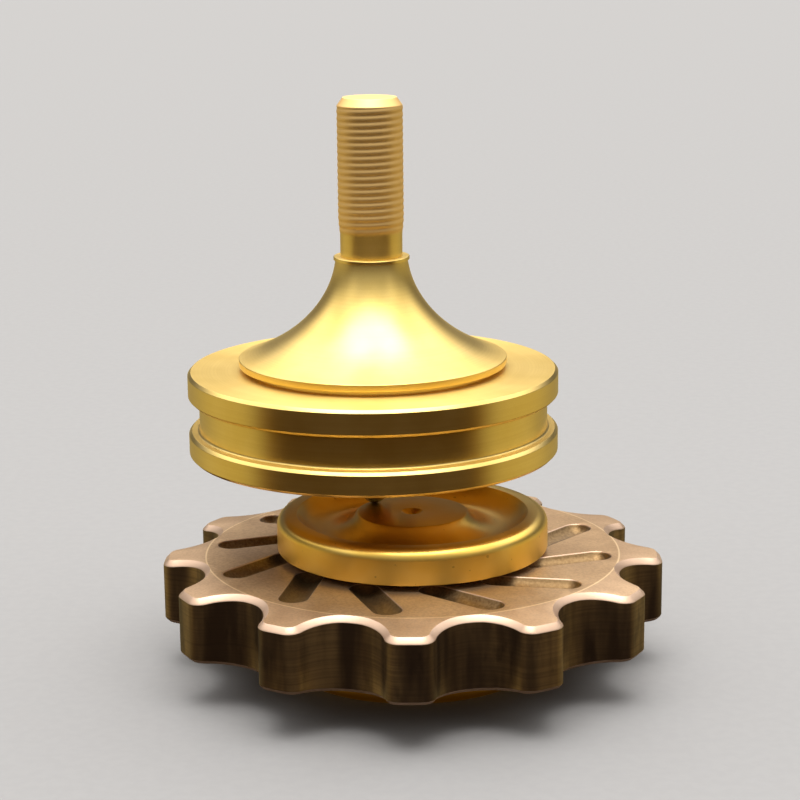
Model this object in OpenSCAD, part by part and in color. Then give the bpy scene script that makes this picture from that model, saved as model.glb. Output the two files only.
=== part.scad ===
// Spinning top with a threaded stem, standing on a ball-bearing finger
// spinner. The spinner stands on its lower cap at z = 0, on the Z axis, and
// the top stands upright on the upper cap's pad, a little off that axis.

/* [Toothed wheel] */
// Diameter over the tooth tips
wheel_d = 46.2; // [45:0.2:48]
// Number of teeth, and of swirl pockets
teeth = 12; // [11:1:13]
// Thickness at the flat centre
wheel_h = 6.8; // [6.6:0.1:8]
// Radius of the flat centre, where the tooth faces start to slope
flat_r = 19.1; // [18.6:0.1:19.6]
// Drop of a tooth face between the flat centre and the tip, each side
tooth_drop = 0.5; // [0.2:0.1:0.8]
// Radius of the round valley between two teeth
valley_r = 4; // [3.6:0.1:4.2]
// Distance from the axis to the floor of a valley
valley_floor_r = 19.5; // [19.2:0.1:20]
// Radius of the corners of a tooth tip
tip_corner_r = 1.3; // [0.9:0.1:1.4]
// Chamfer at the ends of the teeth
tooth_chamfer = 0.5; // [0.2:0.1:0.7]
// Direction of the first tooth at rest, in degrees from +X
wheel_angle = -0.9; // [-15:0.1:15]

/* [Swirl pockets] */
// Width of a pocket
pocket_w = 2.7; // [1.6:0.1:3]
// Depth of a pocket
pocket_depth = 0.8; // [0.4:0.1:1]
// Distance between the centres of a pocket's two round ends
pocket_travel = 6.2; // [4:0.1:7]
// Distance from the axis to the centre of a pocket's outer end
pocket_end_r = 17.05; // [16.4:0.05:17.1]
// Angle of a pocket's outer end from its tooth, in degrees
pocket_offset = -6.7; // [-12:0.1:0]
// Angle by which a pocket leans away from the radius, in degrees
pocket_lean = 27; // [0:1:35]

/* [Finger caps] */
// Diameter of a cap
cap_d = 25; // [24:0.2:26]
// Height of a cap's plate
cap_h = 3.2; // [2.8:0.1:3.6]
// Air gap between a cap and the wheel
cap_gap = 0.6; // [0.4:0.1:1]
// Radius of the rounded edge of a cap's rim
rim_round = 1; // [0.4:0.1:1.2]
// Diameter of the dished ring at its outer edge
dish_d = 21.3; // [20:0.1:22]
// Depth of the dished ring
dish_depth = 1.5; // [0.8:0.1:1.8]
// Diameter of the flat pad in the middle of a cap
pad_d = 10.2; // [9:0.1:11]
// How far the pad lies below the rim
pad_drop = 0.05; // [0.02:0.01:0.2]
// Diameter of the dimple in the middle of the upper pad
dimple_d = 2; // [1:0.1:2.4]
// Depth of the dimple
dimple_depth = 0.6; // [0.3:0.1:0.8]

/* [Bearing] */
// Bore of the ball bearing
bearing_bore = 6.35; // [6.35]
// Outer diameter of the ball bearing
bearing_d = 12.7; // [12.7]
// Width of the ball bearing
bearing_w = 4.76; // [4.76]
// Diameter of one bearing ball
ball_d = 1.588; // [1.588]
// Number of bearing balls
ball_count = 10; // [8:1:12]

/* [Cap screw] */
// Thread diameter of the screw that joins the caps
screw_d = 3; // [2.5:0.5:3]
// Diameter of its low head
screw_head_d = 5.2; // [4.6:0.1:5.4]
// Height of its low head
screw_head_h = 1.3; // [1:0.1:1.5]

/* [Flywheel] */
// Diameter of the flywheel
disc_d = 34.2; // [32:0.1:36]
// Thickness of the upper flange
upper_flange_h = 2.45; // [2:0.05:3]
// Width of the groove between the flanges
groove_w = 3.05; // [2:0.05:3.5]
// Thickness of the lower flange
lower_flange_h = 2.28; // [2:0.02:3]
// Depth of the groove
groove_depth = 1; // [0.5:0.1:2]
// Chamfer on the flywheel's edges
disc_chamfer = 0.28; // [0.1:0.02:0.4]
// Height of the raised seat under the collar
seat_h = 0.45; // [0.3:0.05:0.6]
// Diameter of the raised seat
seat_d = 23; // [20:0.5:24]

/* [Collar] */
// Diameter of the collar's rim
collar_d = 24.7; // [24:0.1:26]
// Thickness of the collar's rim
collar_rim_h = 0.65; // [0.4:0.05:0.9]
// Diameter of the thin lip at the collar's top
lip_d = 6.96; // [6.8:0.02:7.2]
// Height of the collar's lip above the flywheel's top face
lip_top_h = 10.42; // [9.5:0.01:11]
// Height of the lip's straight edge
lip_h = 0.35; // [0.2:0.05:0.5]

/* [Stem] */
// Outer diameter of the stem's fine thread
thread_d = 6; // [6]
// Diameter of the plain neck below the thread
neck_d = 5.67; // [5.5:0.01:5.8]
// Height of the stem's end above the flywheel's top face
stem_top_h = 24.83; // [20:0.01:30]
// Height at which the thread begins above the flywheel's top face
thread_start_h = 12.48; // [11:0.01:14]
// Height of the chamfer at the stem's end
stem_chamfer_h = 0.76; // [0.4:0.02:1]
// Width of the chamfer at the stem's end
stem_chamfer_w = 0.55; // [0.3:0.01:0.8]
// Diameter of the shank that passes through the collar and the flywheel
shank_d = 5; // [4.5:0.1:5]

/* [Tip] */
// Height of the flywheel above the pad
ride_h = 5.22; // [5:0.01:6]
// Diameter of the ball that the top spins on
tip_ball_d = 2.5; // [2.4:0.1:2.6]
// Place of the tip on the pad, along X
tip_x = -3.5; // [-3.5:0.1:3.5]
// Place of the tip on the pad, along Y
tip_y = 3.1; // [-3.1:0.1:3.1]
// Thickness of the washer under the flywheel
washer_h = 0.6; // [0.4:0.1:0.8]
// Thickness of the clamp nut
nut_h = 2; // [1.6:0.1:2.2]
// Width of the clamp nut across its flats
nut_af = 8; // [7:0.5:9]

/* [Hidden] */
$fn = 96;

// A fixed fit between two turned parts, and the running clearance of a ball
fit_gap = 0.01;
run_gap = 0.03;
// How far a cutting shape runs past the face that it cuts
over = 1;
brass = [0.83, 0.66, 0.25];
bronze = [0.62, 0.49, 0.38];
steel = [0.72, 0.73, 0.75];

// Heights of the spinner, from the table up
wheel_z = cap_h + cap_gap;
wheel_top_z = wheel_z + wheel_h;
upper_cap_z = wheel_top_z + cap_gap;
rim_z = upper_cap_z + cap_h;
pad_z = rim_z - pad_drop;
mid_z = rim_z / 2;
bearing_z = mid_z - bearing_w / 2;
bearing_top_z = mid_z + bearing_w / 2;

// Bearing rings, ball track and shields
pitch_r = (bearing_bore + bearing_d) / 4;
track_r = ball_d / 2 + run_gap;
inner_land_r = pitch_r - 0.51;
outer_land_r = pitch_r + 0.51;
shield_seat_r = 5.62;
shield_seat_h = 0.6;
shield_h = 0.2;
shield_bore_r = inner_land_r + 0.11;
wire_w = 0.18;
cage_low = 1.4;
cage_high = 0.4;
cage_half_w = 0.34;

// Hub of a cap, and the shoulder in the wheel that carries the bearing
hub_r = 3.9;
spigot_r = bearing_bore / 2 - fit_gap;
spigot_end = 0.1;
wheel_shoulder_r = 5.75;
ring_h = 0.56;
ring_inner_r = 5.75;
ring_outer_r = 6.72;
ring_groove_r = 6.75;
ring_opening = 12;
lug_r = 0.75;
lug_hole_r = 0.35;

// The dish is one arc of this radius, between the pad and the rim
dish_half_w = (dish_d - pad_d) / 4;
dish_mid_r = (dish_d + pad_d) / 4;
dish_r = (pow(dish_half_w, 2) + pow(dish_depth, 2)) / (2 * dish_depth);

// Tooth outline: each corner arc touches the tip circle and a valley arc
wheel_r = wheel_d / 2;
tooth_step = 360 / teeth;
valley_mid_r = valley_floor_r + valley_r;
corner_mid_r = wheel_r - tip_corner_r;
corner_reach = valley_r + tip_corner_r;
corner_angle = tooth_step / 2 - acos((pow(corner_mid_r, 2) + pow(valley_mid_r, 2)
    - pow(corner_reach, 2)) / (2 * corner_mid_r * valley_mid_r));
slope = tooth_drop / (wheel_r - flat_r);

// Heights of the top, from the table up
disc_z = pad_z + ride_h;
disc_h = upper_flange_h + groove_w + lower_flange_h;
disc_top_z = disc_z + disc_h;
lip_top_z = disc_top_z + lip_top_h;
thread_z = disc_top_z + thread_start_h;
stem_top_z = disc_top_z + stem_top_h;
shank_r = shank_d / 2;
shank_end_z = disc_z - washer_h - nut_h - 0.2;
tip_r = tip_ball_d / 2;
tip_socket_r = tip_r + 0.04;
holder_spigot_r = 1.2;
holder_spigot_h = 3;
holder_r = 2.4;
holder_nose_r = 1.45;
holder_nose_z = pad_z + 0.65;

// Radius of the ball-nosed cutter that leaves a pocket of this width and depth
cutter_r = (pow(pocket_w / 2, 2) + pow(pocket_depth, 2)) / (2 * pocket_depth);

// The collar's flare is part of an ellipse, upright at the lip
flare_top_h = lip_top_h - lip_h;
flare_low_h = seat_h + collar_rim_h;
flare_mid_r = 18.48;
flare_mid_h = 11.04;
flare_half_h = 10.86;
flare_half_w = (flare_mid_r - collar_d / 2)
    / sqrt(1 - pow((flare_low_h - flare_mid_h) / flare_half_h, 2));
flare_steps = 28;

function arc(mid, r, from, to, n) =
    [for (i = [0:n]) mid + r * [cos(from + (to - from) * i / n), sin(from + (to - from) * i / n)]];
function polar(r, a) = r * [cos(a), sin(a)];
function heading(v) = atan2(v[1], v[0]);
function flare_r(h) = flare_mid_r - flare_half_w * sqrt(1 - pow((h - flare_mid_h) / flare_half_h, 2));

function turned(points, a) =
    [for (p = points) [p[0] * cos(a) - p[1] * sin(a), p[0] * sin(a) + p[1] * cos(a)]];

// The tooth along +X, and the valley after it
function tooth_points() =
    let (corner = polar(corner_mid_r, corner_angle),
         valley = polar(valley_mid_r, tooth_step / 2),
         next_corner = polar(corner_mid_r, tooth_step - corner_angle),
         touch = heading(valley - corner),
         start = heading(corner - valley),
         end = heading(next_corner - valley) - 360)
    concat(arc(polar(corner_mid_r, -corner_angle), tip_corner_r, -touch, -corner_angle, 6),
           arc(corner, tip_corner_r, corner_angle, touch, 6),
           arc(valley, valley_r, start, end, 14));

module tooth_outline() {
    polygon([for (i = [0:teeth - 1]) each turned(tooth_points(), i * tooth_step)]);
}

// Profile whose revolution slopes the tooth faces and chamfers their ends
module wheel_limit() {
    rotate_extrude()
        polygon([[0, 0], [flat_r, 0], [wheel_r - tooth_chamfer, slope * (wheel_r - tooth_chamfer - flat_r)],
                 [wheel_r, tooth_drop + tooth_chamfer],
                 [wheel_r, wheel_h - tooth_drop - tooth_chamfer],
                 [wheel_r - tooth_chamfer, wheel_h - slope * (wheel_r - tooth_chamfer - flat_r)],
                 [flat_r, wheel_h], [0, wheel_h]]);
}

// Space swept by a ball-nosed cutter of radius cutter_r that moves inward from
// a pocket's outer end, with the wheel's face at height 0
module swirl_pocket() {
    translate([0, 0, cutter_r - pocket_depth]) rotate(pocket_offset) translate([pocket_end_r, 0, 0])
        rotate(pocket_lean) rotate([0, -90, 0]) rotate_extrude() difference() {
            union() {
                circle(cutter_r);
                translate([0, pocket_travel]) circle(cutter_r);
                translate([-cutter_r, 0]) square([2 * cutter_r, pocket_travel]);
            }
            translate([-2 * cutter_r, -2 * cutter_r]) square([2 * cutter_r, pocket_travel + 4 * cutter_r]);
        }
}

module swirl_pockets() {
    for (i = [0:teeth - 1]) {
        rotate(i * tooth_step) swirl_pocket();
    }
}

module toothed_wheel() {
    color(bronze) translate([0, 0, wheel_z]) difference() {
        intersection() {
            rotate(wheel_angle) linear_extrude(wheel_h) tooth_outline();
            wheel_limit();
        }
        rotate(wheel_angle) translate([0, 0, wheel_h]) swirl_pockets();
        mirror([0, 0, 1]) rotate(wheel_angle) swirl_pockets();
        translate([0, 0, -over]) cylinder(r = wheel_shoulder_r, h = wheel_h + 2 * over);
        translate([0, 0, bearing_z - wheel_z]) cylinder(r = bearing_d / 2 + fit_gap, h = wheel_h);
        translate([0, 0, bearing_top_z - wheel_z + fit_gap])
            cylinder(r = ring_groove_r, h = ring_h + 2 * run_gap);
    }
}

// Internal retaining ring, with two eyes beside its opening
module retaining_ring() {
    lug_angle = 90 + ring_opening + 4;
    color(steel) translate([0, 0, bearing_top_z + run_gap]) difference() {
        union() {
            difference() {
                cylinder(r = ring_outer_r, h = ring_h);
                translate([0, 0, -over]) cylinder(r = ring_inner_r, h = ring_h + 2 * over);
                translate([0, 0, -over]) linear_extrude(ring_h + 2 * over)
                    polygon([[0, 0], polar(10, 90 - ring_opening), polar(10, 90 + ring_opening)]);
            }
            for (a = [lug_angle, 180 - lug_angle]) {
                rotate(a) translate([ring_inner_r, 0, 0]) cylinder(r = lug_r, h = ring_h);
            }
        }
        for (a = [lug_angle, 180 - lug_angle]) {
            rotate(a) translate([ring_inner_r, 0, -over]) cylinder(r = lug_hole_r, h = ring_h + 2 * over);
        }
    }
}

// Half section of a finger cap, from its inner face at 0 to its rim
module cap_section() {
    difference() {
        union() {
            square([cap_d / 2 - rim_round, cap_h]);
            square([cap_d / 2, cap_h - rim_round]);
            translate([cap_d / 2 - rim_round, cap_h - rim_round]) circle(rim_round);
        }
        translate([dish_mid_r, cap_h - dish_depth + dish_r]) circle(dish_r);
        translate([0, cap_h - pad_drop]) square([pad_d / 2 + pad_drop, over]);
    }
}

// A cap's plate with the hub that reaches into the bearing
module cap_blank() {
    rotate_extrude() cap_section();
    translate([0, 0, bearing_top_z - upper_cap_z]) cylinder(r = hub_r, h = upper_cap_z - bearing_top_z);
    translate([0, 0, mid_z + spigot_end - upper_cap_z])
        cylinder(r = spigot_r, h = upper_cap_z - mid_z - spigot_end);
}

module upper_cap() {
    screw_hole_h = 4.6;
    color(brass) difference() {
        translate([0, 0, upper_cap_z]) cap_blank();
        translate([0, 0, pad_z - dimple_depth]) cylinder(r1 = 0, r2 = dimple_d / 2, h = dimple_depth);
        translate([0, 0, mid_z]) cylinder(r = screw_d / 2 + fit_gap, h = spigot_end + screw_hole_h);
    }
}

module lower_cap() {
    color(brass) difference() {
        translate([0, 0, cap_h]) mirror([0, 0, 1]) cap_blank();
        translate([0, 0, -over]) cylinder(d = screw_d + 0.2, h = mid_z + over);
        translate([0, 0, -over]) cylinder(d = screw_head_d + 0.3, h = over + pad_drop + 0.3 + screw_head_h);
    }
}

module cap_screw() {
    head_z = pad_drop + 0.3;
    shank_h = 9.7;
    socket_af = 2;
    socket_h = 0.8;
    color(steel) difference() {
        translate([0, 0, head_z]) {
            cylinder(d = screw_head_d, h = screw_head_h);
            cylinder(d = screw_d, h = screw_head_h + shank_h);
        }
        translate([0, 0, head_z - over]) cylinder(d = socket_af / cos(30), h = over + socket_h, $fn = 6);
    }
}

module bearing_inner_ring() {
    color(steel) rotate_extrude() difference() {
        translate([bearing_bore / 2, bearing_z]) square([inner_land_r - bearing_bore / 2, bearing_w]);
        translate([pitch_r, mid_z]) circle(track_r);
    }
}

module bearing_outer_ring() {
    color(steel) rotate_extrude() difference() {
        translate([outer_land_r, bearing_z]) square([bearing_d / 2 - outer_land_r, bearing_w]);
        translate([pitch_r, mid_z]) circle(track_r);
        translate([0, bearing_z - over]) square([shield_seat_r, over + shield_seat_h]);
        translate([0, bearing_top_z - shield_seat_h]) square([shield_seat_r, over + shield_seat_h]);
    }
}

module bearing_balls() {
    color(steel) for (i = [0:ball_count - 1]) {
        rotate(i * 360 / ball_count) translate([pitch_r, 0, mid_z]) sphere(d = ball_d);
    }
}

// Crown cage: a band below the balls, with fingers between them
module ball_cage() {
    pocket_gap = 0.05;
    color("goldenrod") difference() {
        translate([0, 0, mid_z - cage_low]) rotate_extrude()
            translate([pitch_r - cage_half_w, 0]) square([2 * cage_half_w, cage_low + cage_high]);
        for (i = [0:ball_count - 1]) {
            rotate(i * 360 / ball_count) translate([pitch_r, 0, mid_z]) sphere(d = ball_d + 2 * pocket_gap);
        }
    }
}

module shield() {
    rotate_extrude() translate([shield_bore_r, 0])
        square([shield_seat_r - 4 * fit_gap - shield_bore_r, shield_h - fit_gap]);
}

module upper_shield() {
    color(steel) translate([0, 0, bearing_top_z - shield_seat_h + fit_gap]) shield();
}

module lower_shield() {
    color(steel) translate([0, 0, bearing_z + shield_seat_h - shield_h]) shield();
}

// Split wire that holds a shield in its seat
module shield_wire() {
    wire_outer_r = shield_seat_r - 2 * fit_gap;
    difference() {
        rotate_extrude() translate([wire_outer_r - wire_w, 0]) square([wire_w, wire_w]);
        translate([0, -0.4, -over]) cube([bearing_d, 0.8, 3 * over]);
    }
}

module upper_shield_wire() {
    color(steel) translate([0, 0, bearing_top_z - shield_seat_h + shield_h + fit_gap]) shield_wire();
}

module lower_shield_wire() {
    color(steel) translate([0, 0, bearing_z + shield_seat_h - shield_h - wire_w - fit_gap]) shield_wire();
}

module at_tip() {
    translate([tip_x, tip_y, 0]) children();
}

module flywheel() {
    r = disc_d / 2;
    floor_r = r - groove_depth;
    c = disc_chamfer;
    groove_z = lower_flange_h;
    upper_z = lower_flange_h + groove_w;
    color(brass) at_tip() translate([0, 0, disc_z]) rotate_extrude()
        polygon([[shank_r + fit_gap, 0], [r - c, 0], [r, c], [r, groove_z - c], [r - c, groove_z],
                 [floor_r + c, groove_z], [floor_r, groove_z + c], [floor_r, upper_z - c],
                 [floor_r + c, upper_z], [r - c, upper_z], [r, upper_z + c], [r, disc_h - c],
                 [r - c, disc_h], [seat_d / 2, disc_h], [seat_d / 2, disc_h + seat_h],
                 [shank_r + fit_gap, disc_h + seat_h]]);
}

module flared_collar() {
    rim_chamfer = 0.12;
    r = collar_d / 2;
    flare = [for (i = [0:flare_steps])
        let (h = flare_low_h + (flare_top_h - flare_low_h) * i / flare_steps) [flare_r(h), h]];
    color(brass) at_tip() translate([0, 0, disc_top_z]) rotate_extrude()
        polygon(concat([[shank_r + fit_gap, seat_h], [r - rim_chamfer, seat_h], [r, seat_h + rim_chamfer]],
                       flare,
                       [[lip_d / 2, flare_top_h + 0.1], [lip_d / 2, lip_top_h - 0.1],
                        [lip_d / 2 - 0.1, lip_top_h], [shank_r + fit_gap, lip_top_h]]));
}

// Threaded grip, plain neck, and the shank that holds the top together. The
// thread is a plain cylinder at its outer diameter.
module stem() {
    thread_r = thread_d / 2;
    neck_r = neck_d / 2;
    color(brass) at_tip() difference() {
        rotate_extrude()
            polygon([[0, shank_end_z], [shank_r - 0.4, shank_end_z], [shank_r, shank_end_z + 0.4],
                     [shank_r, lip_top_z], [neck_r, lip_top_z], [neck_r, thread_z - (thread_r - neck_r)],
                     [thread_r, thread_z], [thread_r, stem_top_z - stem_chamfer_h],
                     [thread_r - stem_chamfer_w, stem_top_z], [0, stem_top_z]]);
        translate([0, 0, shank_end_z - over])
            cylinder(r = holder_spigot_r + fit_gap, h = over + holder_spigot_h + 0.2);
    }
}

module nut_washer() {
    color(steel) at_tip() translate([0, 0, disc_z - washer_h]) difference() {
        cylinder(r = nut_af / 2 + 0.6, h = washer_h);
        translate([0, 0, -over]) cylinder(r = shank_r + 0.1, h = washer_h + 2 * over);
    }
}

module clamp_nut() {
    corner_r = nut_af / 2 / cos(30);
    bevel = corner_r - nut_af / 2;
    color(brass) at_tip() translate([0, 0, disc_z - washer_h - nut_h]) difference() {
        intersection() {
            cylinder(r = corner_r, h = nut_h, $fn = 6);
            rotate_extrude()
                polygon([[0, 0], [nut_af / 2, 0], [corner_r + 0.1, bevel], [corner_r + 0.1, nut_h], [0, nut_h]]);
        }
        translate([0, 0, -over]) cylinder(r = shank_r + fit_gap, h = nut_h + 2 * over);
    }
}

module tip_holder() {
    color(brass) at_tip() difference() {
        union() {
            translate([0, 0, shank_end_z]) cylinder(r = holder_spigot_r, h = holder_spigot_h);
            rotate_extrude()
                polygon([[0, holder_nose_z], [holder_nose_r, holder_nose_z],
                         [holder_r, shank_end_z - 0.5], [holder_r, shank_end_z], [0, shank_end_z]]);
        }
        translate([0, 0, pad_z + tip_r]) sphere(tip_socket_r);
    }
}

module tip_ball() {
    color(steel) at_tip() translate([0, 0, pad_z + tip_r]) sphere(tip_r);
}

stem();
flared_collar();
flywheel();
nut_washer();
clamp_nut();
tip_holder();
tip_ball();
upper_cap();
lower_cap();
cap_screw();
toothed_wheel();
retaining_ring();
bearing_outer_ring();
bearing_inner_ring();
bearing_balls();
ball_cage();
upper_shield();
lower_shield();
upper_shield_wire();
lower_shield_wire();
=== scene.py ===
"""The looks of a brass spinning top that stands on a ball-bearing finger spinner.

Lengths in this script are in millimetres, in the CAD model's frame, until a mesh
is made. The top turns about its own upright axis, and the wheel about the Z axis.
"""
import math
from types import SimpleNamespace

import bmesh
import bpy
from mathutils import Matrix, Vector
from mathutils.geometry import delaunay_2d_cdt


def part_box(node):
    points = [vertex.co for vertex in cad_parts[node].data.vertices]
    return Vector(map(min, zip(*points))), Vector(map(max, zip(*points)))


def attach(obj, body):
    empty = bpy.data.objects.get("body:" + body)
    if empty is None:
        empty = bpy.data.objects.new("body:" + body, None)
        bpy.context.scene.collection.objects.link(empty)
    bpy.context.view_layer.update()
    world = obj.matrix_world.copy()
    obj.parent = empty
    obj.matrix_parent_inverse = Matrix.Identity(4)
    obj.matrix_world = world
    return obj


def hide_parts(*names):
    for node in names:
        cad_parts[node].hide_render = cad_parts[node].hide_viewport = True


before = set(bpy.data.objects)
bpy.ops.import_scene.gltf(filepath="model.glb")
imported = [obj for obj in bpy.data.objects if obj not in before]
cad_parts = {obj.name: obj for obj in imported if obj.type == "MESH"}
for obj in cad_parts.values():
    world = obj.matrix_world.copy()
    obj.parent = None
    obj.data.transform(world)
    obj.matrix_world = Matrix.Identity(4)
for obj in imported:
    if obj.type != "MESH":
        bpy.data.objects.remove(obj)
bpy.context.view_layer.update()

MM = 0.001
TURN = 2 * math.pi


def size(node):
    """Centre, radius and height of a CAD node, in millimetres."""
    low, high = (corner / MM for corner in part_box(node))
    mid = (low + high) / 2
    return SimpleNamespace(x=mid.x, y=mid.y, r=(high.x - low.x) / 2, low=low.z, high=high.z)


# The fine edges, which the CAD model leaves sharp, and the steps in a full turn
EDGE = 0.07
SEGMENTS = 192

# The stem's thread
THREAD_PITCH = 0.6
THREAD_DEPTH = 0.045
THREAD_HEIGHT = 12.35
STEM_CHAMFER = 0.55
STEM_CHAMFER_H = 0.76
NECK_R = 2.835
SHANK_R = 2.5
SOCKET_R = 1.21
SOCKET_DEPTH = 3.2

# The collar's flare: part of an ellipse, as in the CAD model
FLARE_MID_R = 18.48
FLARE_DROP = 0.62
FLARE_HALF_H = 10.86
COLLAR_RIM = 0.65
LIP_HEIGHT = 0.35
LIP_R = 3.48

# The clamp nut
NUT_CHAMFER_W = 0.62
NUT_CHAMFER_H = 0.36

# The tip holder
HOLDER_R = 2.4
HOLDER_SPIGOT_R = 1.2
HOLDER_NOSE_R = 1.45

# The flywheel
FLANGE_UPPER = 2.45
FLANGE_LOWER = 2.28
GROOVE_DEPTH = 1.0
DISC_CHAMFER = 0.28
SEAT_R = 11.5
SEAT_HEIGHT = 0.45

# The finger caps
PAD_R = 5.1
PAD_DROP = 0.05
DISH_R = 10.65
DISH_DEPTH = 1.5
RIM_ROUND = 1.0
CAP_PLATE = 3.2
HUB_R = 3.9
SPIGOT_R = 3.165
THREADED_HOLE_R = 1.51
THREADED_HOLE_DEPTH = 4.6
SCREW_HOLE_R = 1.6
HEAD_RECESS_DEPTH = 1.3
DIMPLE_R = 1.0
DIMPLE_DEPTH = 0.6

# The toothed wheel
TEETH = 12
TIP_R = 23.1
FLAT_R = 19.1
TOOTH_DROP = 0.5
VALLEY_R = 4.0
VALLEY_FLOOR_R = 19.5
TIP_CORNER_R = 1.3
WHEEL_ANGLE = math.radians(-0.9)
WHEEL_CHAMFER = 0.5
BEARING_R = 6.36
SHOULDER_R = 5.75
RING_GROOVE_R = 6.75
RING_GROOVE_H = 0.62

# The swirl pockets
POCKET_W = 2.7
POCKET_DEPTH = 0.8
POCKET_EDGE = 0.07
POCKET_TRAVEL = 6.2
POCKET_END_R = 17.05
POCKET_ZONE_R = 18.9
POCKET_OFFSET = math.radians(-6.7)
POCKET_LEAN = math.radians(27)


# ---------------------------------------------------------------- profiles

def arc(mid, r, start, end, steps):
    """Points on a circle, from one angle to another."""
    angles = [start + (end - start) * i / steps for i in range(steps + 1)]
    return [(mid[0] + r * math.cos(a), mid[1] + r * math.sin(a)) for a in angles]


def polar(r, a):
    return (r * math.cos(a), r * math.sin(a))


def rounded(points):
    """A profile whose corners (r, z, fillet) become arcs of that fillet's radius."""
    out = []
    for i, (r, z, *fillet) in enumerate(points):
        if not fillet:
            out.append((r, z))
            continue
        corner = Vector((r, z))
        before = (Vector(points[i - 1][:2]) - corner).normalized()
        after = (Vector(points[(i + 1) % len(points)][:2]) - corner).normalized()
        half = before.angle(after) / 2
        mid = corner + (before + after).normalized() * fillet[0] / math.sin(half)
        reach = fillet[0] / math.tan(half)
        first = corner + before * reach - mid
        last = corner + after * reach - mid
        start = math.atan2(first.y, first.x)
        sweep = (math.atan2(last.y, last.x) - start + math.pi) % TURN - math.pi
        steps = max(3, math.ceil(abs(sweep) / math.radians(12)))
        out += arc(mid, fillet[0], start, start + sweep, steps)
    return out


# ------------------------------------------------------------- mesh making

def ring(r, z, axis, segments=SEGMENTS):
    """A level ring of points round an upright axis, or one point on it."""
    if r < 1e-6:
        return [(axis[0], axis[1], z)]
    angles = [TURN * i / segments for i in range(segments)]
    return [(axis[0] + r * math.cos(a), axis[1] + r * math.sin(a), z) for a in angles]


def skin(mesh, rings, closed):
    """Joins each ring of points to the next one with faces."""
    rows = [[mesh.verts.new(p) for p in points] for points in rings]
    pairs = list(zip(rows, rows[1:]))
    if closed:
        pairs.append((rows[-1], rows[0]))
    for low, high in pairs:
        count = max(len(low), len(high))
        for i in range(count):
            j = (i + 1) % count
            corners = [low[i % len(low)], low[j % len(low)], high[j % len(high)], high[i % len(high)]]
            face = list(dict.fromkeys(corners))
            if len(face) > 2:
                mesh.faces.new(face)
    return rows


def piece(name, mesh, body, slot, material, *nodes, crease=38):
    """Turns a mesh in millimetres into a finished piece that stands for CAD nodes."""
    bmesh.ops.remove_doubles(mesh, verts=mesh.verts, dist=1e-5)
    bmesh.ops.recalc_face_normals(mesh, faces=mesh.faces)
    bmesh.ops.scale(mesh, vec=(MM, MM, MM), verts=mesh.verts)
    for edge in mesh.edges:
        edge.smooth = len(edge.link_faces) == 2 and edge.calc_face_angle() < math.radians(crease)
    for face in mesh.faces:
        face.smooth = True
    data = bpy.data.meshes.new(name)
    mesh.to_mesh(data)
    mesh.free()
    data.materials.append(material)
    obj = bpy.data.objects.new(name, data)
    bpy.context.scene.collection.objects.link(obj)
    normals = obj.modifiers.new("even_normals", "WEIGHTED_NORMAL")
    normals.keep_sharp = True
    normals.weight = 100
    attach(obj, body)
    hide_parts(*nodes)
    return obj


def lathe(name, profile, axis, body, slot, material, *nodes, closed=True):
    """A turned piece: a profile of (r, z) points taken round an upright axis."""
    mesh = bmesh.new()
    skin(mesh, [ring(r, z, axis) for r, z in profile], closed)
    return piece(name, mesh, body, slot, material, *nodes)


# ---------------------------------------------------------------- materials

class Nodes:
    """A small builder for a node tree that works from a vector called point."""

    def __init__(self, tree, point):
        self.tree = tree
        self.point = point
        split = self.add("ShaderNodeSeparateXYZ")
        self.join(point, split.inputs[0])
        self.x, self.y, self.z = split.outputs

    def add(self, kind, **settings):
        node = self.tree.nodes.new(kind)
        for key, value in settings.items():
            setattr(node, key, value)
        return node

    def join(self, source, target):
        self.tree.links.new(source, target)

    def feed(self, source, target):
        """Links a socket, or sets a plain value."""
        if isinstance(source, bpy.types.NodeSocket):
            self.join(source, target)
        else:
            target.default_value = source

    def sum(self, operation, a, b=0.0):
        node = self.add("ShaderNodeMath", operation=operation)
        self.feed(a, node.inputs[0])
        self.feed(b, node.inputs[1])
        return node.outputs[0]

    def times(self, *values):
        total = values[0]
        for value in values[1:]:
            total = self.sum("MULTIPLY", total, value)
        return total

    def plus(self, *values):
        total = values[0]
        for value in values[1:]:
            total = self.sum("ADD", total, value)
        return total

    def vector(self, x, y, z):
        node = self.add("ShaderNodeCombineXYZ")
        for source, target in zip((x, y, z), node.inputs):
            self.feed(source, target)
        return node.outputs[0]

    def stretched(self, x, y, z):
        """The point, with each axis scaled to features per metre."""
        return self.vector(self.times(self.x, x), self.times(self.y, y), self.times(self.z, z))

    def noise(self, scale, detail=2.0, vector=None, rough=0.5):
        """Noise between about 0 and 1, with scale in features per metre."""
        node = self.add("ShaderNodeTexNoise")
        self.join(vector or self.point, node.inputs["Vector"])
        node.inputs["Scale"].default_value = scale
        node.inputs["Detail"].default_value = detail
        node.inputs["Roughness"].default_value = rough
        return node.outputs["Fac"]

    def ramp(self, value, low, high, start=0.0, end=1.0):
        """Carries a value smoothly from one range to another, and no further."""
        node = self.add("ShaderNodeMapRange", interpolation_type="SMOOTHSTEP")
        for source, target in zip((value, low, high, start, end), node.inputs):
            self.feed(source, target)
        return node.outputs[0]

    def mix(self, amount, a, b):
        """Mixes two colours."""
        node = self.add("ShaderNodeMix", data_type="RGBA")
        sockets = [socket for socket in node.inputs if socket.enabled]
        for source, target in zip((amount, a, b), sockets):
            if isinstance(source, tuple):
                source = (*source, 1.0)
            self.feed(source, target)
        return next(socket for socket in node.outputs if socket.enabled)


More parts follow.
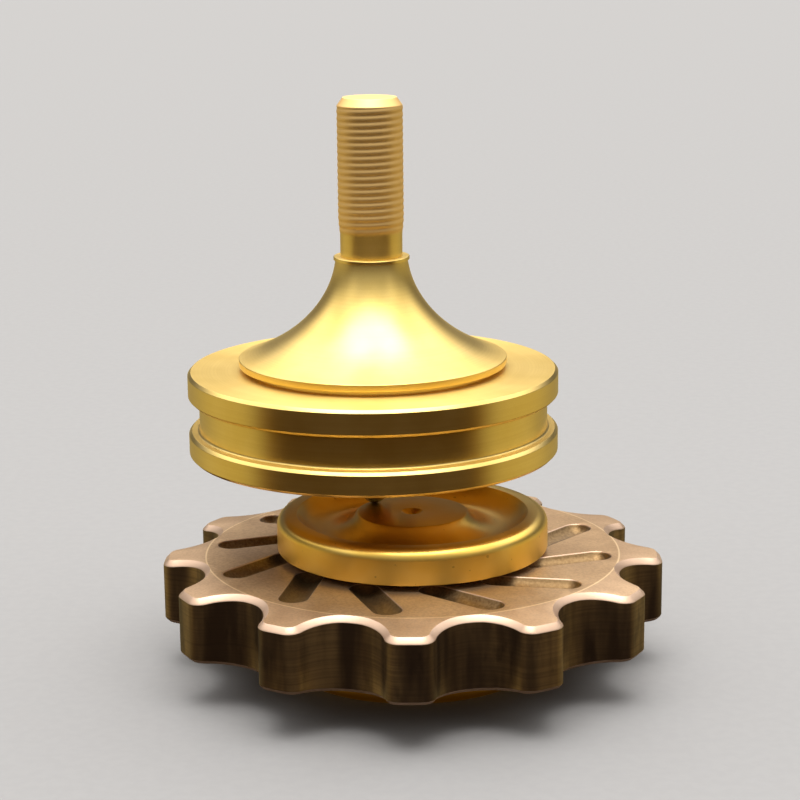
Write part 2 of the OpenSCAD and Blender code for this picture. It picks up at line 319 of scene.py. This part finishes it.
class Surface(Nodes):
    """A material made of nodes, measured from an upright axis."""

    def __init__(self, name, axis=(0.0, 0.0), metallic=1.0):
        self.material = bpy.data.materials.new(name)
        self.material.use_nodes = True
        self.tree = self.material.node_tree
        coords = self.add("ShaderNodeTexCoord").outputs["Object"]
        shift = self.add("ShaderNodeVectorMath", operation="SUBTRACT")
        self.join(coords, shift.inputs[0])
        shift.inputs[1].default_value = (axis[0] * MM, axis[1] * MM, 0)
        super().__init__(self.tree, shift.outputs[0])
        self.shader = self.tree.nodes["Principled BSDF"]
        self.shader.inputs["Metallic"].default_value = metallic
        square = self.plus(self.times(self.x, self.x), self.times(self.y, self.y))
        self.radius = self.sum("SQRT", square)

    def upright(self):
        """1 where the surface faces straight up or down, and 0 where it is upright."""
        normal = self.add("ShaderNodeSeparateXYZ")
        self.join(self.add("ShaderNodeNewGeometry").outputs["Normal"], normal.inputs[0])
        return self.sum("ABSOLUTE", normal.outputs[2])

    def turn(self, amount):
        """Stretches reflections across the fine rings that a lathe leaves."""
        around = self.vector(self.times(self.y, -1.0), self.x, 0.0)
        world = self.add("ShaderNodeVectorTransform", vector_type="VECTOR",
                         convert_from="OBJECT", convert_to="WORLD")
        self.join(around, world.inputs[0])
        self.join(world.outputs[0], self.shader.inputs["Tangent"])
        self.feed(amount, self.shader.inputs["Anisotropic"])
        self.shader.inputs["Anisotropic Rotation"].default_value = 0.25

    def finish(self, colour, roughness, height=None, depth=0.0):
        """Sets the surface; height is a value and depth its size in millimetres."""
        self.feed(colour, self.shader.inputs["Base Color"])
        self.feed(roughness, self.shader.inputs["Roughness"])
        if height is not None:
            bump = self.add("ShaderNodeBump")
            bump.inputs["Distance"].default_value = depth * MM
            self.join(height, bump.inputs["Height"])
            self.join(bump.outputs[0], self.shader.inputs["Normal"])
        return self.material


def turned_rings(s, per_mm):
    """Fine rings left by a lathe tool, on faces and on cylinders alike."""
    return s.noise(per_mm / MM, 1.0, s.vector(s.radius, 0.0, s.z))


def top_brass(axis):
    """Satin brass with faint turning rings, rougher on the grip and on level faces, with a painted
    highlight on the threaded grip.
    """
    s = Surface("top_brass", axis)
    thread_low = (size("stem").high - THREAD_HEIGHT) * MM
    threaded = s.ramp(s.z, thread_low, thread_low + 0.5 * MM)
    s.turn(s.times(s.sum("SUBTRACT", 1.0, threaded), 0.45))
    grain = s.noise(9000, 2.0)
    rings = turned_rings(s, 5.0)
    tone = s.noise(260, 3.0)
    colour = s.mix(s.ramp(tone, 0.3, 0.7), (0.83, 0.60, 0.18), (0.88, 0.65, 0.22))
    colour = s.mix(s.ramp(rings, 0.3, 0.7, 0.0, 0.2), colour, (0.70, 0.46, 0.12))
    colour = s.mix(s.ramp(grain, 0.3, 0.75, 0.0, 0.12), colour, (0.68, 0.45, 0.12))
    # Painted highlight: the threaded grip is painted a lighter brass to stand in for the overhead
    # light that its thread flanks catch.
    colour = s.mix(threaded, colour, (0.96, 0.66, 0.27))
    blasted = s.ramp(s.upright(), 0.88, 0.985, 0.0, 0.20)
    collar_low = size("flywheel").high * MM
    collar_high = size("flared_collar").high * MM
    collar = s.times(s.ramp(s.z, collar_low, collar_low + 0.4 * MM),
                     s.ramp(s.z, collar_high - 0.3 * MM, collar_high - 0.7 * MM))
    grip = s.ramp(s.z, collar_high, collar_high + 0.2 * MM)
    rough = s.plus(s.ramp(grain, 0.3, 0.7, 0.275, 0.285), s.ramp(tone, 0.3, 0.7, 0.0, 0.02), blasted,
                   s.times(threaded, 0.15), s.times(grip, 0.10), s.times(collar, 0.05))
    return s.finish(colour, rough, rings, 0.0008)


def cap_brass():
    """Brighter, yellower satin brass with a few dark specks."""
    s = Surface("cap_brass")
    s.turn(0.35)
    grain = s.noise(6000, 2.0)
    rings = turned_rings(s, 4.0)
    speck = s.ramp(s.noise(2300, 0.0), 0.80, 0.85, 0.0, 0.4)
    tone = s.noise(300, 2.0)
    colour = s.mix(s.ramp(tone, 0.3, 0.7), (0.90, 0.585, 0.115), (0.93, 0.64, 0.16))
    colour = s.mix(speck, colour, (0.22, 0.12, 0.03))
    rough = s.plus(s.ramp(grain, 0.3, 0.7, 0.278, 0.286), s.ramp(s.upright(), 0.5, 0.2, 0.0, 0.10))
    return s.finish(colour, rough, rings, 0.0004)


def wheel_bronze():
    """Aged bronze: brown faces, bright worn chamfers and dark streaked walls, with painted shade in
    the pockets and a painted highlight along the edge of the flat centre.
    """
    s = Surface("wheel_bronze", metallic=0.85)
    upright = s.upright()
    box = size("toothed_wheel")
    middle = (box.low + box.high) / 2
    from_middle = s.sum("ABSOLUTE", s.sum("SUBTRACT", s.z, middle * MM))
    sunk = s.sum("SUBTRACT", (box.high - middle) * MM, from_middle)
    grain = s.noise(4200, 3.0)
    cloud = s.noise(140, 4.0, rough=0.6)
    brushed = s.noise(1.0, 2.0, s.stretched(700.0, 4200.0, 0.0))

    face = s.mix(s.ramp(cloud, 0.3, 0.7), (0.47, 0.30, 0.158), (0.56, 0.375, 0.205))
    face = s.mix(s.ramp(grain, 0.35, 0.7, 0.0, 0.4), face, (0.28, 0.18, 0.105))
    bright = s.mix(s.ramp(cloud, 0.3, 0.7), (0.60, 0.42, 0.30), (0.70, 0.51, 0.38))
    face = s.mix(s.ramp(s.radius, FLAT_R * MM, (FLAT_R + 0.2) * MM, 0.0, 0.22), face, bright)
    # Painted shade: the pocket floors are painted a darker brown where shade falls in the recesses.
    pocket = s.mix(s.ramp(grain, 0.3, 0.7), (0.15, 0.09, 0.038), (0.23, 0.148, 0.068))
    pocket_shade_mask = s.times(s.ramp(sunk, 0.03 * MM, 0.12 * MM),
                        s.ramp(s.radius, POCKET_ZONE_R * MM, (POCKET_ZONE_R - 0.3) * MM))

    streaks = s.noise(1.0, 3.0, s.stretched(420.0, 420.0, 60.0))
    tool_marks = s.noise(1.0, 2.0, s.stretched(60.0, 60.0, 5200.0))
    stains = s.noise(1.0, 3.0, s.stretched(800.0, 800.0, 350.0))
    wall = s.mix(s.ramp(streaks, 0.35, 0.75), (0.07, 0.041, 0.022), (0.31, 0.195, 0.08))
    wall = s.mix(s.ramp(tool_marks, 0.35, 0.7, 0.0, 0.35), wall, (0.05, 0.03, 0.018))
    wall = s.mix(s.ramp(stains, 0.55, 0.75, 0.0, 0.5), wall, (0.03, 0.018, 0.012))

    face_share = s.ramp(upright, 0.93, 0.975)
    colour = s.mix(s.ramp(upright, 0.22, 0.4), wall, bright)
    colour = s.mix(face_share, colour, face)
    # Painted highlight: a thin light line along the crease where the flat centre meets the sloped
    # teeth, standing in for light caught by that edge.
    from_line = s.sum("ABSOLUTE", s.sum("SUBTRACT", s.radius, FLAT_R * MM))
    crease_highlight = s.ramp(from_line, 0.03 * MM, 0.12 * MM, 0.7, 0.0)
    colour = s.mix(s.times(crease_highlight, face_share), colour, (0.86, 0.64, 0.38))
    # Lays the painted pocket shade over the rest.
    colour = s.mix(pocket_shade_mask, colour, pocket)
    rough = s.plus(s.ramp(cloud, 0.3, 0.7, 0.38, 0.46), s.ramp(grain, 0.3, 0.7, 0.0, 0.05))
    height = s.plus(s.times(grain, 0.5), s.times(brushed, 0.5))
    return s.finish(colour, rough, height, 0.004)


def steel(name, colour, rough):
    """Ground steel with fine rings round the part's axis."""
    s = Surface(name)
    rings = turned_rings(s, 6.0)
    shade = tuple(c * 0.8 for c in colour)
    mixed = s.mix(s.ramp(s.noise(500, 2.0), 0.3, 0.7), colour, shade)
    return s.finish(mixed, s.ramp(rings, 0.3, 0.7, rough, rough + 0.08), rings, 0.002)


def cage_brass():
    """Pressed brass with a faint tumbled grain."""
    s = Surface("cage_brass")
    grain = s.noise(3000, 3.0)
    colour = s.mix(s.ramp(grain, 0.3, 0.7), (0.72, 0.50, 0.18), (0.60, 0.40, 0.13))
    return s.finish(colour, s.ramp(grain, 0.3, 0.7, 0.28, 0.38), grain, 0.003)


# ------------------------------------------------------------------ the top

def thread_radius(z, angle, low, high, outer):
    """Radius of the threaded grip: soft ridges, a faded start and a chamfered end."""
    phase = ((z - low) / THREAD_PITCH - angle / TURN) * TURN
    cut = (0.5 - 0.5 * math.cos(phase)) ** 1.2
    rise = min((z - low) / 1.8, 1.0)
    full = NECK_R + (outer - NECK_R) * (1 - (1 - rise) ** 2)
    depth = THREAD_DEPTH * min((z - low) / 0.7, 1.0)
    chamfer_share = max(0.0, (z - high + STEM_CHAMFER_H) / STEM_CHAMFER_H)
    return min(full - depth * cut, outer - STEM_CHAMFER * chamfer_share)


def make_stem(material):
    """The threaded grip, its plain neck, and the shank with the tip's socket."""
    box = size("stem")
    axis = (box.x, box.y)
    lip = size("flared_collar").high
    thread_low = box.high - THREAD_HEIGHT
    segments = 144
    step = THREAD_PITCH / 12
    rows = round(THREAD_HEIGHT / step)
    mesh = bmesh.new()
    lower = rounded([
        (0, box.low + SOCKET_DEPTH), (SOCKET_R, box.low + SOCKET_DEPTH),
        (SOCKET_R, box.low, 0.05), (SHANK_R - 0.4, box.low, 0.05),
        (SHANK_R, box.low + 0.4, 0.1), (SHANK_R, lip + 0.02),
        (NECK_R, lip + 0.02), (NECK_R, thread_low)])
    rings = [ring(r, z, axis, segments) for r, z in lower]
    for row in range(1, rows + 1):
        z = thread_low + THREAD_HEIGHT * row / rows
        points = []
        for i in range(segments):
            angle = TURN * i / segments
            r = thread_radius(z, angle, thread_low, box.high, box.r)
            points.append((axis[0] + r * math.cos(angle), axis[1] + r * math.sin(angle), z))
        rings.append(points)
    rings.append(ring(box.r - STEM_CHAMFER - EDGE, box.high, axis, segments))
    rings.append(ring(0, box.high, axis, segments))
    skin(mesh, rings, closed=False)
    return piece("threaded_stem", mesh, "top", "top_brass", material, "stem", crease=60)


def flare_radius(z, mid_z, half_w):
    return FLARE_MID_R - half_w * math.sqrt(1 - ((z - mid_z) / FLARE_HALF_H) ** 2)


def make_collar(material):
    """The trumpet-shaped collar, with a thin lip above and a thin rim below."""
    box = size("flared_collar")
    mid_z = box.high + FLARE_DROP
    rim_top = box.low + COLLAR_RIM
    half_w = (FLARE_MID_R - box.r) / math.sqrt(1 - ((rim_top - mid_z) / FLARE_HALF_H) ** 2)
    lip_low = box.high - LIP_HEIGHT
    bore = SHANK_R + 0.01
    steps = 56
    flare = []
    for i in range(steps + 1):
        share = i / steps
        z = rim_top + (lip_low - rim_top) * share ** 1.5
        flare.append((flare_radius(z, mid_z, half_w), z))
    flare[0] = (*flare[0], 0.08)
    profile = rounded([
        (bore, box.low), (box.r, box.low, 0.12), *flare, (LIP_R, lip_low + 0.06),
        (LIP_R, box.high, EDGE), (bore, box.high)])
    return lathe("flared_collar_body", profile, (box.x, box.y), "top", "top_brass", material,
                 "flared_collar")


def make_flywheel(material):
    """Two flanges with a square groove between them, and a seat for the collar."""
    box = size("flywheel")
    top = box.high - SEAT_HEIGHT
    groove_low = box.low + FLANGE_LOWER
    groove_high = top - FLANGE_UPPER
    floor_r = box.r - GROOVE_DEPTH
    c = DISC_CHAMFER
    bore = SHANK_R + 0.01
    profile = rounded([
        (bore, box.low), (box.r - c, box.low, EDGE), (box.r, box.low + c, EDGE),
        (box.r, groove_low - c, EDGE), (box.r - c, groove_low, EDGE),
        (floor_r, groove_low, 0.28), (floor_r, groove_high, 0.28),
        (box.r - c, groove_high, EDGE), (box.r, groove_high + c, EDGE),
        (box.r, top - c, EDGE), (box.r - c, top, EDGE),
        (SEAT_R, top, 0.04), (SEAT_R, box.high, 0.05), (bore, box.high)])
    return lathe("flywheel_disc", profile, (box.x, box.y), "top", "top_brass", material, "flywheel")


def make_nut(material):
    """A thin hexagon nut with turned-off corners."""
    box = size("clamp_nut")
    axis = (box.x, box.y)
    across = box.r * math.cos(math.radians(30))
    bore = SHANK_R + 0.01
    segments = 120

    def outline(inset, z):
        points = []
        for i in range(segments):
            angle = TURN * i / segments
            flat = across / math.cos((angle - math.radians(30)) % math.radians(60) - math.radians(30))
            r = min(flat, inset)
            points.append((axis[0] + r * math.cos(angle), axis[1] + r * math.sin(angle), z))
        return points

    mesh = bmesh.new()
    chamfer = [outline(across + NUT_CHAMFER_W * i / 6, box.low + NUT_CHAMFER_H * i / 6)
               for i in range(1, 7)]
    skin(mesh, [
        ring(bore + 0.25, box.low, axis, segments), outline(across, box.low),
        *chamfer,
        outline(box.r, box.high - 0.05), outline(box.r - 0.1, box.high),
        ring(bore + 0.2, box.high, axis, segments), ring(bore, box.high - 0.2, axis, segments),
        ring(bore, box.low + 0.25, axis, segments)], closed=True)
    return piece("clamp_nut_body", mesh, "top", "top_brass", material, "clamp_nut", crease=20)


def make_tip_holder(material):
    """The brass nose that carries the ball, with its spigot in the stem."""
    box = size("tip_holder")
    ball = size("tip_ball")
    face_z = size("stem").low
    socket_r = ball.r + 0.04
    mid_z = (ball.low + ball.high) / 2
    mouth = math.asin((box.low - mid_z) / socket_r)
    socket = arc((0, mid_z), socket_r, mouth, math.pi / 2, 16)
    profile = rounded([
        (0, box.high), (HOLDER_SPIGOT_R, box.high, 0.1), (HOLDER_SPIGOT_R, face_z),
        (HOLDER_R, face_z, 0.08), (HOLDER_R, face_z - 0.5, 0.2), (HOLDER_NOSE_R, box.low, 0.08)])
    profile += socket[:-1] + [(0, mid_z + socket_r)]
    return lathe("tip_holder_body", profile, (box.x, box.y), "top", "top_brass", material,
                 "tip_holder", closed=False)


# ------------------------------------------------------------- the spinner

def cap_face(high, turn):
    """A cap's dished face, from the pad's edge to the rim, then down its side.

    turn is 1 for a cap that faces up and -1 for one that faces down.
    """
    half_w = (DISH_R - PAD_R) / 2
    dish_r = (half_w ** 2 + DISH_DEPTH ** 2) / (2 * DISH_DEPTH)
    mid = (PAD_R + half_w, dish_r - DISH_DEPTH)
    reach = math.asin(half_w / dish_r)
    dish = arc(mid, dish_r, -math.pi / 2 - reach, -math.pi / 2 + reach, 26)
    outer = size("upper_cap").r
    points = [(PAD_R, -PAD_DROP, 0.22), *dish[2:-1], (DISH_R, 0, 0.14),
              (outer, 0, RIM_ROUND), (outer, -CAP_PLATE, 0.08)]
    return [(r, high + turn * z, *fillet) for r, z, *fillet in points]


def make_upper_cap(material):
    box = size("upper_cap")
    pad = box.high - PAD_DROP
    under = box.high - CAP_PLATE
    seat = size("bearing_inner_ring").high
    hole = THREADED_HOLE_R
    hole_top = box.low + THREADED_HOLE_DEPTH
    profile = rounded([
        (0, pad - DIMPLE_DEPTH), (0.12, pad - DIMPLE_DEPTH + 0.04), (DIMPLE_R, pad, 0.1),
        *cap_face(box.high, 1),
        (HUB_R, under, 0.2), (HUB_R, seat, 0.08), (SPIGOT_R, seat), (SPIGOT_R, box.low, 0.2),
        (hole, box.low, 0.1), (hole, hole_top), (0, hole_top - 0.01)])
    return lathe("upper_cap_body", profile, (box.x, box.y), "stand", "cap_brass", material,
                 "upper_cap", closed=False)


def make_lower_cap(material):
    box = size("lower_cap")
    under = box.low + CAP_PLATE
    seat = size("bearing_inner_ring").low
    screw = size("cap_screw")
    head_r = screw.r + 0.15
    head_z = screw.low + HEAD_RECESS_DEPTH
    hole = SCREW_HOLE_R
    profile = rounded([
        (hole, head_z), (head_r, head_z), (head_r, box.low + PAD_DROP, 0.12),
        *cap_face(box.low, -1),
        (HUB_R, under, 0.2), (HUB_R, seat, 0.08), (SPIGOT_R, seat), (SPIGOT_R, box.high, 0.2),
        (hole, box.high, 0.1)])
    return lathe("lower_cap_body", profile, (box.x, box.y), "stand", "cap_brass", material,
                 "lower_cap")


def tooth_outline(inset):
    """The wheel's outline, moved inward by inset, as points (x, y)."""
    step = TURN / TEETH
    valley_mid = VALLEY_FLOOR_R + VALLEY_R
    corner_mid = TIP_R - TIP_CORNER_R
    reach = VALLEY_R + TIP_CORNER_R
    squares = corner_mid ** 2 + valley_mid ** 2 - reach ** 2
    between = math.acos(squares / (2 * corner_mid * valley_mid))
    corner_angle = step / 2 - between
    corner = Vector(polar(corner_mid, corner_angle))
    valley = Vector(polar(valley_mid, step / 2))
    to_valley = valley - corner
    touch = math.atan2(to_valley.y, to_valley.x)
    side = touch + math.pi
    other_side = step - side + TURN
    corner_r = TIP_CORNER_R - inset
    tooth = arc((0, 0), TIP_R - inset, -corner_angle, corner_angle, 4)
    tooth = arc(polar(corner_mid, -corner_angle), corner_r, -touch, -corner_angle, 9)[:-1] + tooth
    tooth += arc(corner, corner_r, corner_angle, touch, 9)[1:]
    tooth += arc(valley, VALLEY_R + inset, side, other_side, 26)[1:-1]
    points = []
    for i in range(TEETH):
        turn = i * step + WHEEL_ANGLE
        points += [(x * math.cos(turn) - y * math.sin(turn), x * math.sin(turn) + y * math.cos(turn))
                   for x, y in tooth]
    return points


def pocket_outline(index, r):
    """The round-ended outline of one swirl pocket, with ends of radius r."""
    turn = TURN * index / TEETH + WHEEL_ANGLE + POCKET_OFFSET
    lean = turn + POCKET_LEAN
    outer = Vector(polar(POCKET_END_R, turn))
    inner = outer - Vector(polar(POCKET_TRAVEL, lean))
    quarter = math.pi / 2
    outer_end = arc(outer, r, lean - quarter, lean + quarter, 14)
    inner_end = arc(inner, r, lean + quarter, lean + 3 * quarter, 14)
    return outer_end + inner_end


def pocket_levels():
    """Radii and depths of a pocket cut with a ball-nosed cutter, edge first."""
    half_w = POCKET_W / 2
    cutter_r = (half_w ** 2 + POCKET_DEPTH ** 2) / (2 * POCKET_DEPTH)
    reach = math.asin(half_w / cutter_r)
    levels = [(half_w + POCKET_EDGE, 0.0), (half_w + 0.4 * POCKET_EDGE, 0.15 * POCKET_EDGE)]
    for i in range(10):
        t = reach * (1 - 0.07 - i * 0.093)
        levels.append((cutter_r * math.sin(t), POCKET_DEPTH - cutter_r * (1 - math.cos(t))))
    return levels


def inside(point, outline):
    """True if a point lies inside a closed outline."""
    hit = False
    x, y = point
    for (x1, y1), (x2, y2) in zip(outline, outline[1:] + outline[:1]):
        if (y1 > y) != (y2 > y) and x < (x2 - x1) * (y - y1) / (y2 - y1) + x1:
            hit = not hit
    return hit


def fill_flat(mesh, outer, holes):
    """Fills the flat area inside the outer loop of vertices and outside the holes."""
    loops = [outer, *holes]
    verts = [v for loop in loops for v in loop]
    edges = []
    first = 0
    for loop in loops:
        edges += [(first + i, first + (i + 1) % len(loop)) for i in range(len(loop))]
        first += len(loop)
    points = [Vector(v.co[:2]) for v in verts]
    _, _, triangles, originals, _, _ = delaunay_2d_cdt(points, edges, [], 0, 1e-7)
    outlines = [[tuple(v.co[:2]) for v in loop] for loop in loops]
    for triangle in triangles:
        corners = [verts[originals[i][0]] for i in triangle]
        centre = sum((v.co for v in corners), Vector()) / 3
        where = (centre.x, centre.y)
        if inside(where, outlines[0]) and not any(inside(where, hole) for hole in outlines[1:]):
            mesh.faces.new(corners)


def wheel_side(mesh, face_z, turn, chamfer, bore_loop):
    """One face of the wheel: chamfer, sloped teeth, flat centre and pockets.

    turn is 1 for the upper face and -1 for the lower one. Returns the edge of the side wall.
    """
    slope = TOOTH_DROP / (TIP_R - FLAT_R)

    def drop(r):
        return slope * max(0.0, r - FLAT_R)

    inner = tooth_outline(chamfer + EDGE)
    rims = [math.hypot(x, y) for x, y in inner]
    steps = [(0.0, chamfer + EDGE), (0.3 * EDGE, chamfer + 0.3 * EDGE), (EDGE, chamfer - EDGE),
             (chamfer - EDGE, EDGE), (chamfer - 0.2 * EDGE, 0.2 * EDGE)]
    rows = []
    for inset, depth in steps:
        outline = tooth_outline(inset)
        rows.append([(x, y, face_z - turn * (depth + drop(r))) for (x, y), r in zip(outline, rims)])
    rows.append([(x, y, face_z - turn * drop(r)) for (x, y), r in zip(inner, rims)])
    flat = [(x * FLAT_R / r, y * FLAT_R / r, face_z) if r > FLAT_R else (x, y, face_z)
            for (x, y), r in zip(inner, rims)]
    rows.append(flat)
    made = skin(mesh, rows, closed=False)

    holes = [bore_loop]
    for index in range(TEETH):
        pocket = [[(x, y, face_z - turn * depth) for x, y in pocket_outline(index, r)]
                  for r, depth in pocket_levels()]
        walls = skin(mesh, pocket, closed=False)
        mesh.faces.new(walls[-1])
        holes.append(walls[0])
    fill_flat(mesh, made[-1], holes)
    return made[0]


def make_wheel(material):
    """The toothed bronze wheel with its bearing bore."""
    box = size("toothed_wheel")
    bearing = size("bearing_outer_ring")
    ring_low = bearing.high + 0.01
    bore = rounded([
        (BEARING_R + 0.2, box.high), (BEARING_R, box.high - 0.2),
        (BEARING_R, ring_low + RING_GROOVE_H), (RING_GROOVE_R, ring_low + RING_GROOVE_H),
        (RING_GROOVE_R, ring_low), (BEARING_R, ring_low), (BEARING_R, bearing.low),
        (SHOULDER_R, bearing.low), (SHOULDER_R, box.low + 0.2), (SHOULDER_R + 0.2, box.low)])
    mesh = bmesh.new()
    bore_rows = skin(mesh, [ring(r, z, (0, 0), 96) for r, z in bore], closed=False)
    upper = wheel_side(mesh, box.high, 1, WHEEL_CHAMFER, bore_rows[0])
    lower = wheel_side(mesh, box.low, -1, 0.6 * WHEEL_CHAMFER, bore_rows[-1])
    count = len(upper)
    for i in range(count):
        j = (i + 1) % count
        mesh.faces.new([upper[i], upper[j], lower[j], lower[i]])
    return piece("toothed_wheel_body", mesh, "wheel", "wheel_bronze", material,
                 "toothed_wheel", crease=30)


# ---------------------------------------------------------- build the pieces

top_axis = (size("stem").x, size("stem").y)
brass_top = top_brass(top_axis)
brass_cap = cap_brass()
bronze = wheel_bronze()
brass_cage = cage_brass()
steel_plain = steel("plain_steel", (0.50, 0.50, 0.52), 0.28)
steel_polished = steel("bearing_steel", (0.72, 0.73, 0.75), 0.12)

make_stem(brass_top)
make_collar(brass_top)
make_flywheel(brass_top)
make_nut(brass_top)
make_tip_holder(brass_top)
make_upper_cap(brass_cap)
make_lower_cap(brass_cap)
make_wheel(bronze)

FINISHES = {"bearing_steel": steel_polished, "plain_steel": steel_plain, "cage_brass": brass_cage}
KEPT_NODES = {
    "bearing_steel": ["tip_ball", "bearing_outer_ring", "bearing_inner_ring", "bearing_balls"],
    "plain_steel": ["nut_washer", "cap_screw", "retaining_ring", "upper_shield", "lower_shield",
                    "upper_shield_wire", "lower_shield_wire"],
    "cage_brass": ["ball_cage"],
}
for slot, names in KEPT_NODES.items():
    for name in names:
        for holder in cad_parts[name].material_slots:
            holder.material = FINISHES[slot]


# ------------------------------------------------- floor, light and camera

OVERHEAD_LIGHT = 5.5
FLOOR_GAP = 0.02
FLOOR_SIZE = 4000.0
CAMERA_TARGET = (-1.02, 0.0, 24.92)
CAMERA_DISTANCE = 195.6
CAMERA_LENS = 96.4


def make_floor():
    bpy.ops.mesh.primitive_plane_add(size=FLOOR_SIZE * MM)
    floor = bpy.context.object
    floor.name = "floor"
    floor.location.z = -FLOOR_GAP * MM
    s = Surface("pale_floor", metallic=0.0)
    colour = s.mix(s.ramp(s.noise(900, 2.0), 0.3, 0.7), (0.252, 0.252, 0.257), (0.26, 0.26, 0.265))
    floor.data.materials.append(s.finish(colour, 0.7))
    floor.visible_glossy = False


def make_world():
    """A soft studio: bright above and behind, softer at the sides, dark in front."""
    world = bpy.data.worlds.new("studio")
    bpy.context.scene.world = world
    world.use_nodes = True
    tree = world.node_tree
    w = Nodes(tree, tree.nodes.new("ShaderNodeTexCoord").outputs["Generated"])
    level = w.sum("SQRT", w.plus(w.times(w.x, w.x), w.times(w.y, w.y)))
    facing = w.sum("DIVIDE", w.times(w.y, -1.0), w.sum("MAXIMUM", level, 0.01))

    above = w.ramp(w.z, -0.08, 0.16)
    beside = w.times(w.ramp(facing, 0.85, 0.45), w.ramp(facing, -0.75, -0.35),
                     w.ramp(w.z, 0.28, 0.60), 0.85)
    ahead = w.times(w.ramp(facing, 0.2, 0.6), w.ramp(w.z, 0.05, 0.35), 0.22)
    dome = w.plus(0.06, ahead, beside, w.times(w.z, w.z, 1.0))
    backdrop = w.times(w.ramp(w.y, 0.0, 0.6), w.ramp(w.z, 0.28, 0.70), 2.0)
    tilted = w.plus(w.z, w.times(w.y, -0.08))
    softlight = w.ramp(tilted, 0.85, 0.97, 0.0, OVERHEAD_LIGHT)
    side = w.times(w.ramp(facing, 0.5, 0.05), w.ramp(facing, -0.9, -0.4, 0.55, 1.0),
                   w.ramp(w.z, -0.6, -0.25), 0.60)
    low = w.ramp(w.z, -0.6, -0.15, 0.03, 0.07)
    upper = w.times(above, w.plus(dome, backdrop, softlight))
    lower = w.times(w.sum("SUBTRACT", 1.0, above), w.plus(low, side))
    light = w.plus(upper, lower)
    warmth = w.mix(w.ramp(side, 0.05, 0.4), (1.0, 0.48, 0.07), (1.0, 0.86, 0.40))
    warm = w.mix(above, warmth, (1.0, 0.97, 0.93))
    seen = w.ramp(w.z, -0.1, 0.5, 0.60, 0.45)
    camera_ray = w.add("ShaderNodeLightPath").outputs["Is Camera Ray"]
    sky = tree.nodes["Background"]
    w.join(w.mix(camera_ray, warm, (0.93, 0.95, 1.0)), sky.inputs["Color"])
    w.join(w.plus(w.times(light, w.sum("SUBTRACT", 1.0, camera_ray)), w.times(seen, camera_ray)),
           sky.inputs["Strength"])


def make_camera():
    """A view from 13 degrees above the table, very slightly rolled."""
    elevation = math.radians(13.44)
    azimuth = math.radians(0.13)
    roll = math.radians(-0.573)
    target = Vector(CAMERA_TARGET)
    level = math.cos(elevation)
    back = Vector((math.sin(azimuth) * level, -math.cos(azimuth) * level, math.sin(elevation)))
    data = bpy.data.cameras.new("camera")
    data.lens = CAMERA_LENS
    data.clip_start = 0.01
    data.clip_end = 20
    camera = bpy.data.objects.new("camera", data)
    bpy.context.scene.collection.objects.link(camera)
    camera.location = (target + back * CAMERA_DISTANCE) * MM
    turn = (-back).to_track_quat("-Z", "Y").to_matrix() @ Matrix.Rotation(roll, 3, "Z")
    camera.rotation_mode = "QUATERNION"
    camera.rotation_quaternion = turn.to_quaternion()
    bpy.context.scene.camera = camera


make_floor()
make_world()
make_camera()
bpy.context.scene.view_settings.view_transform = "Standard"
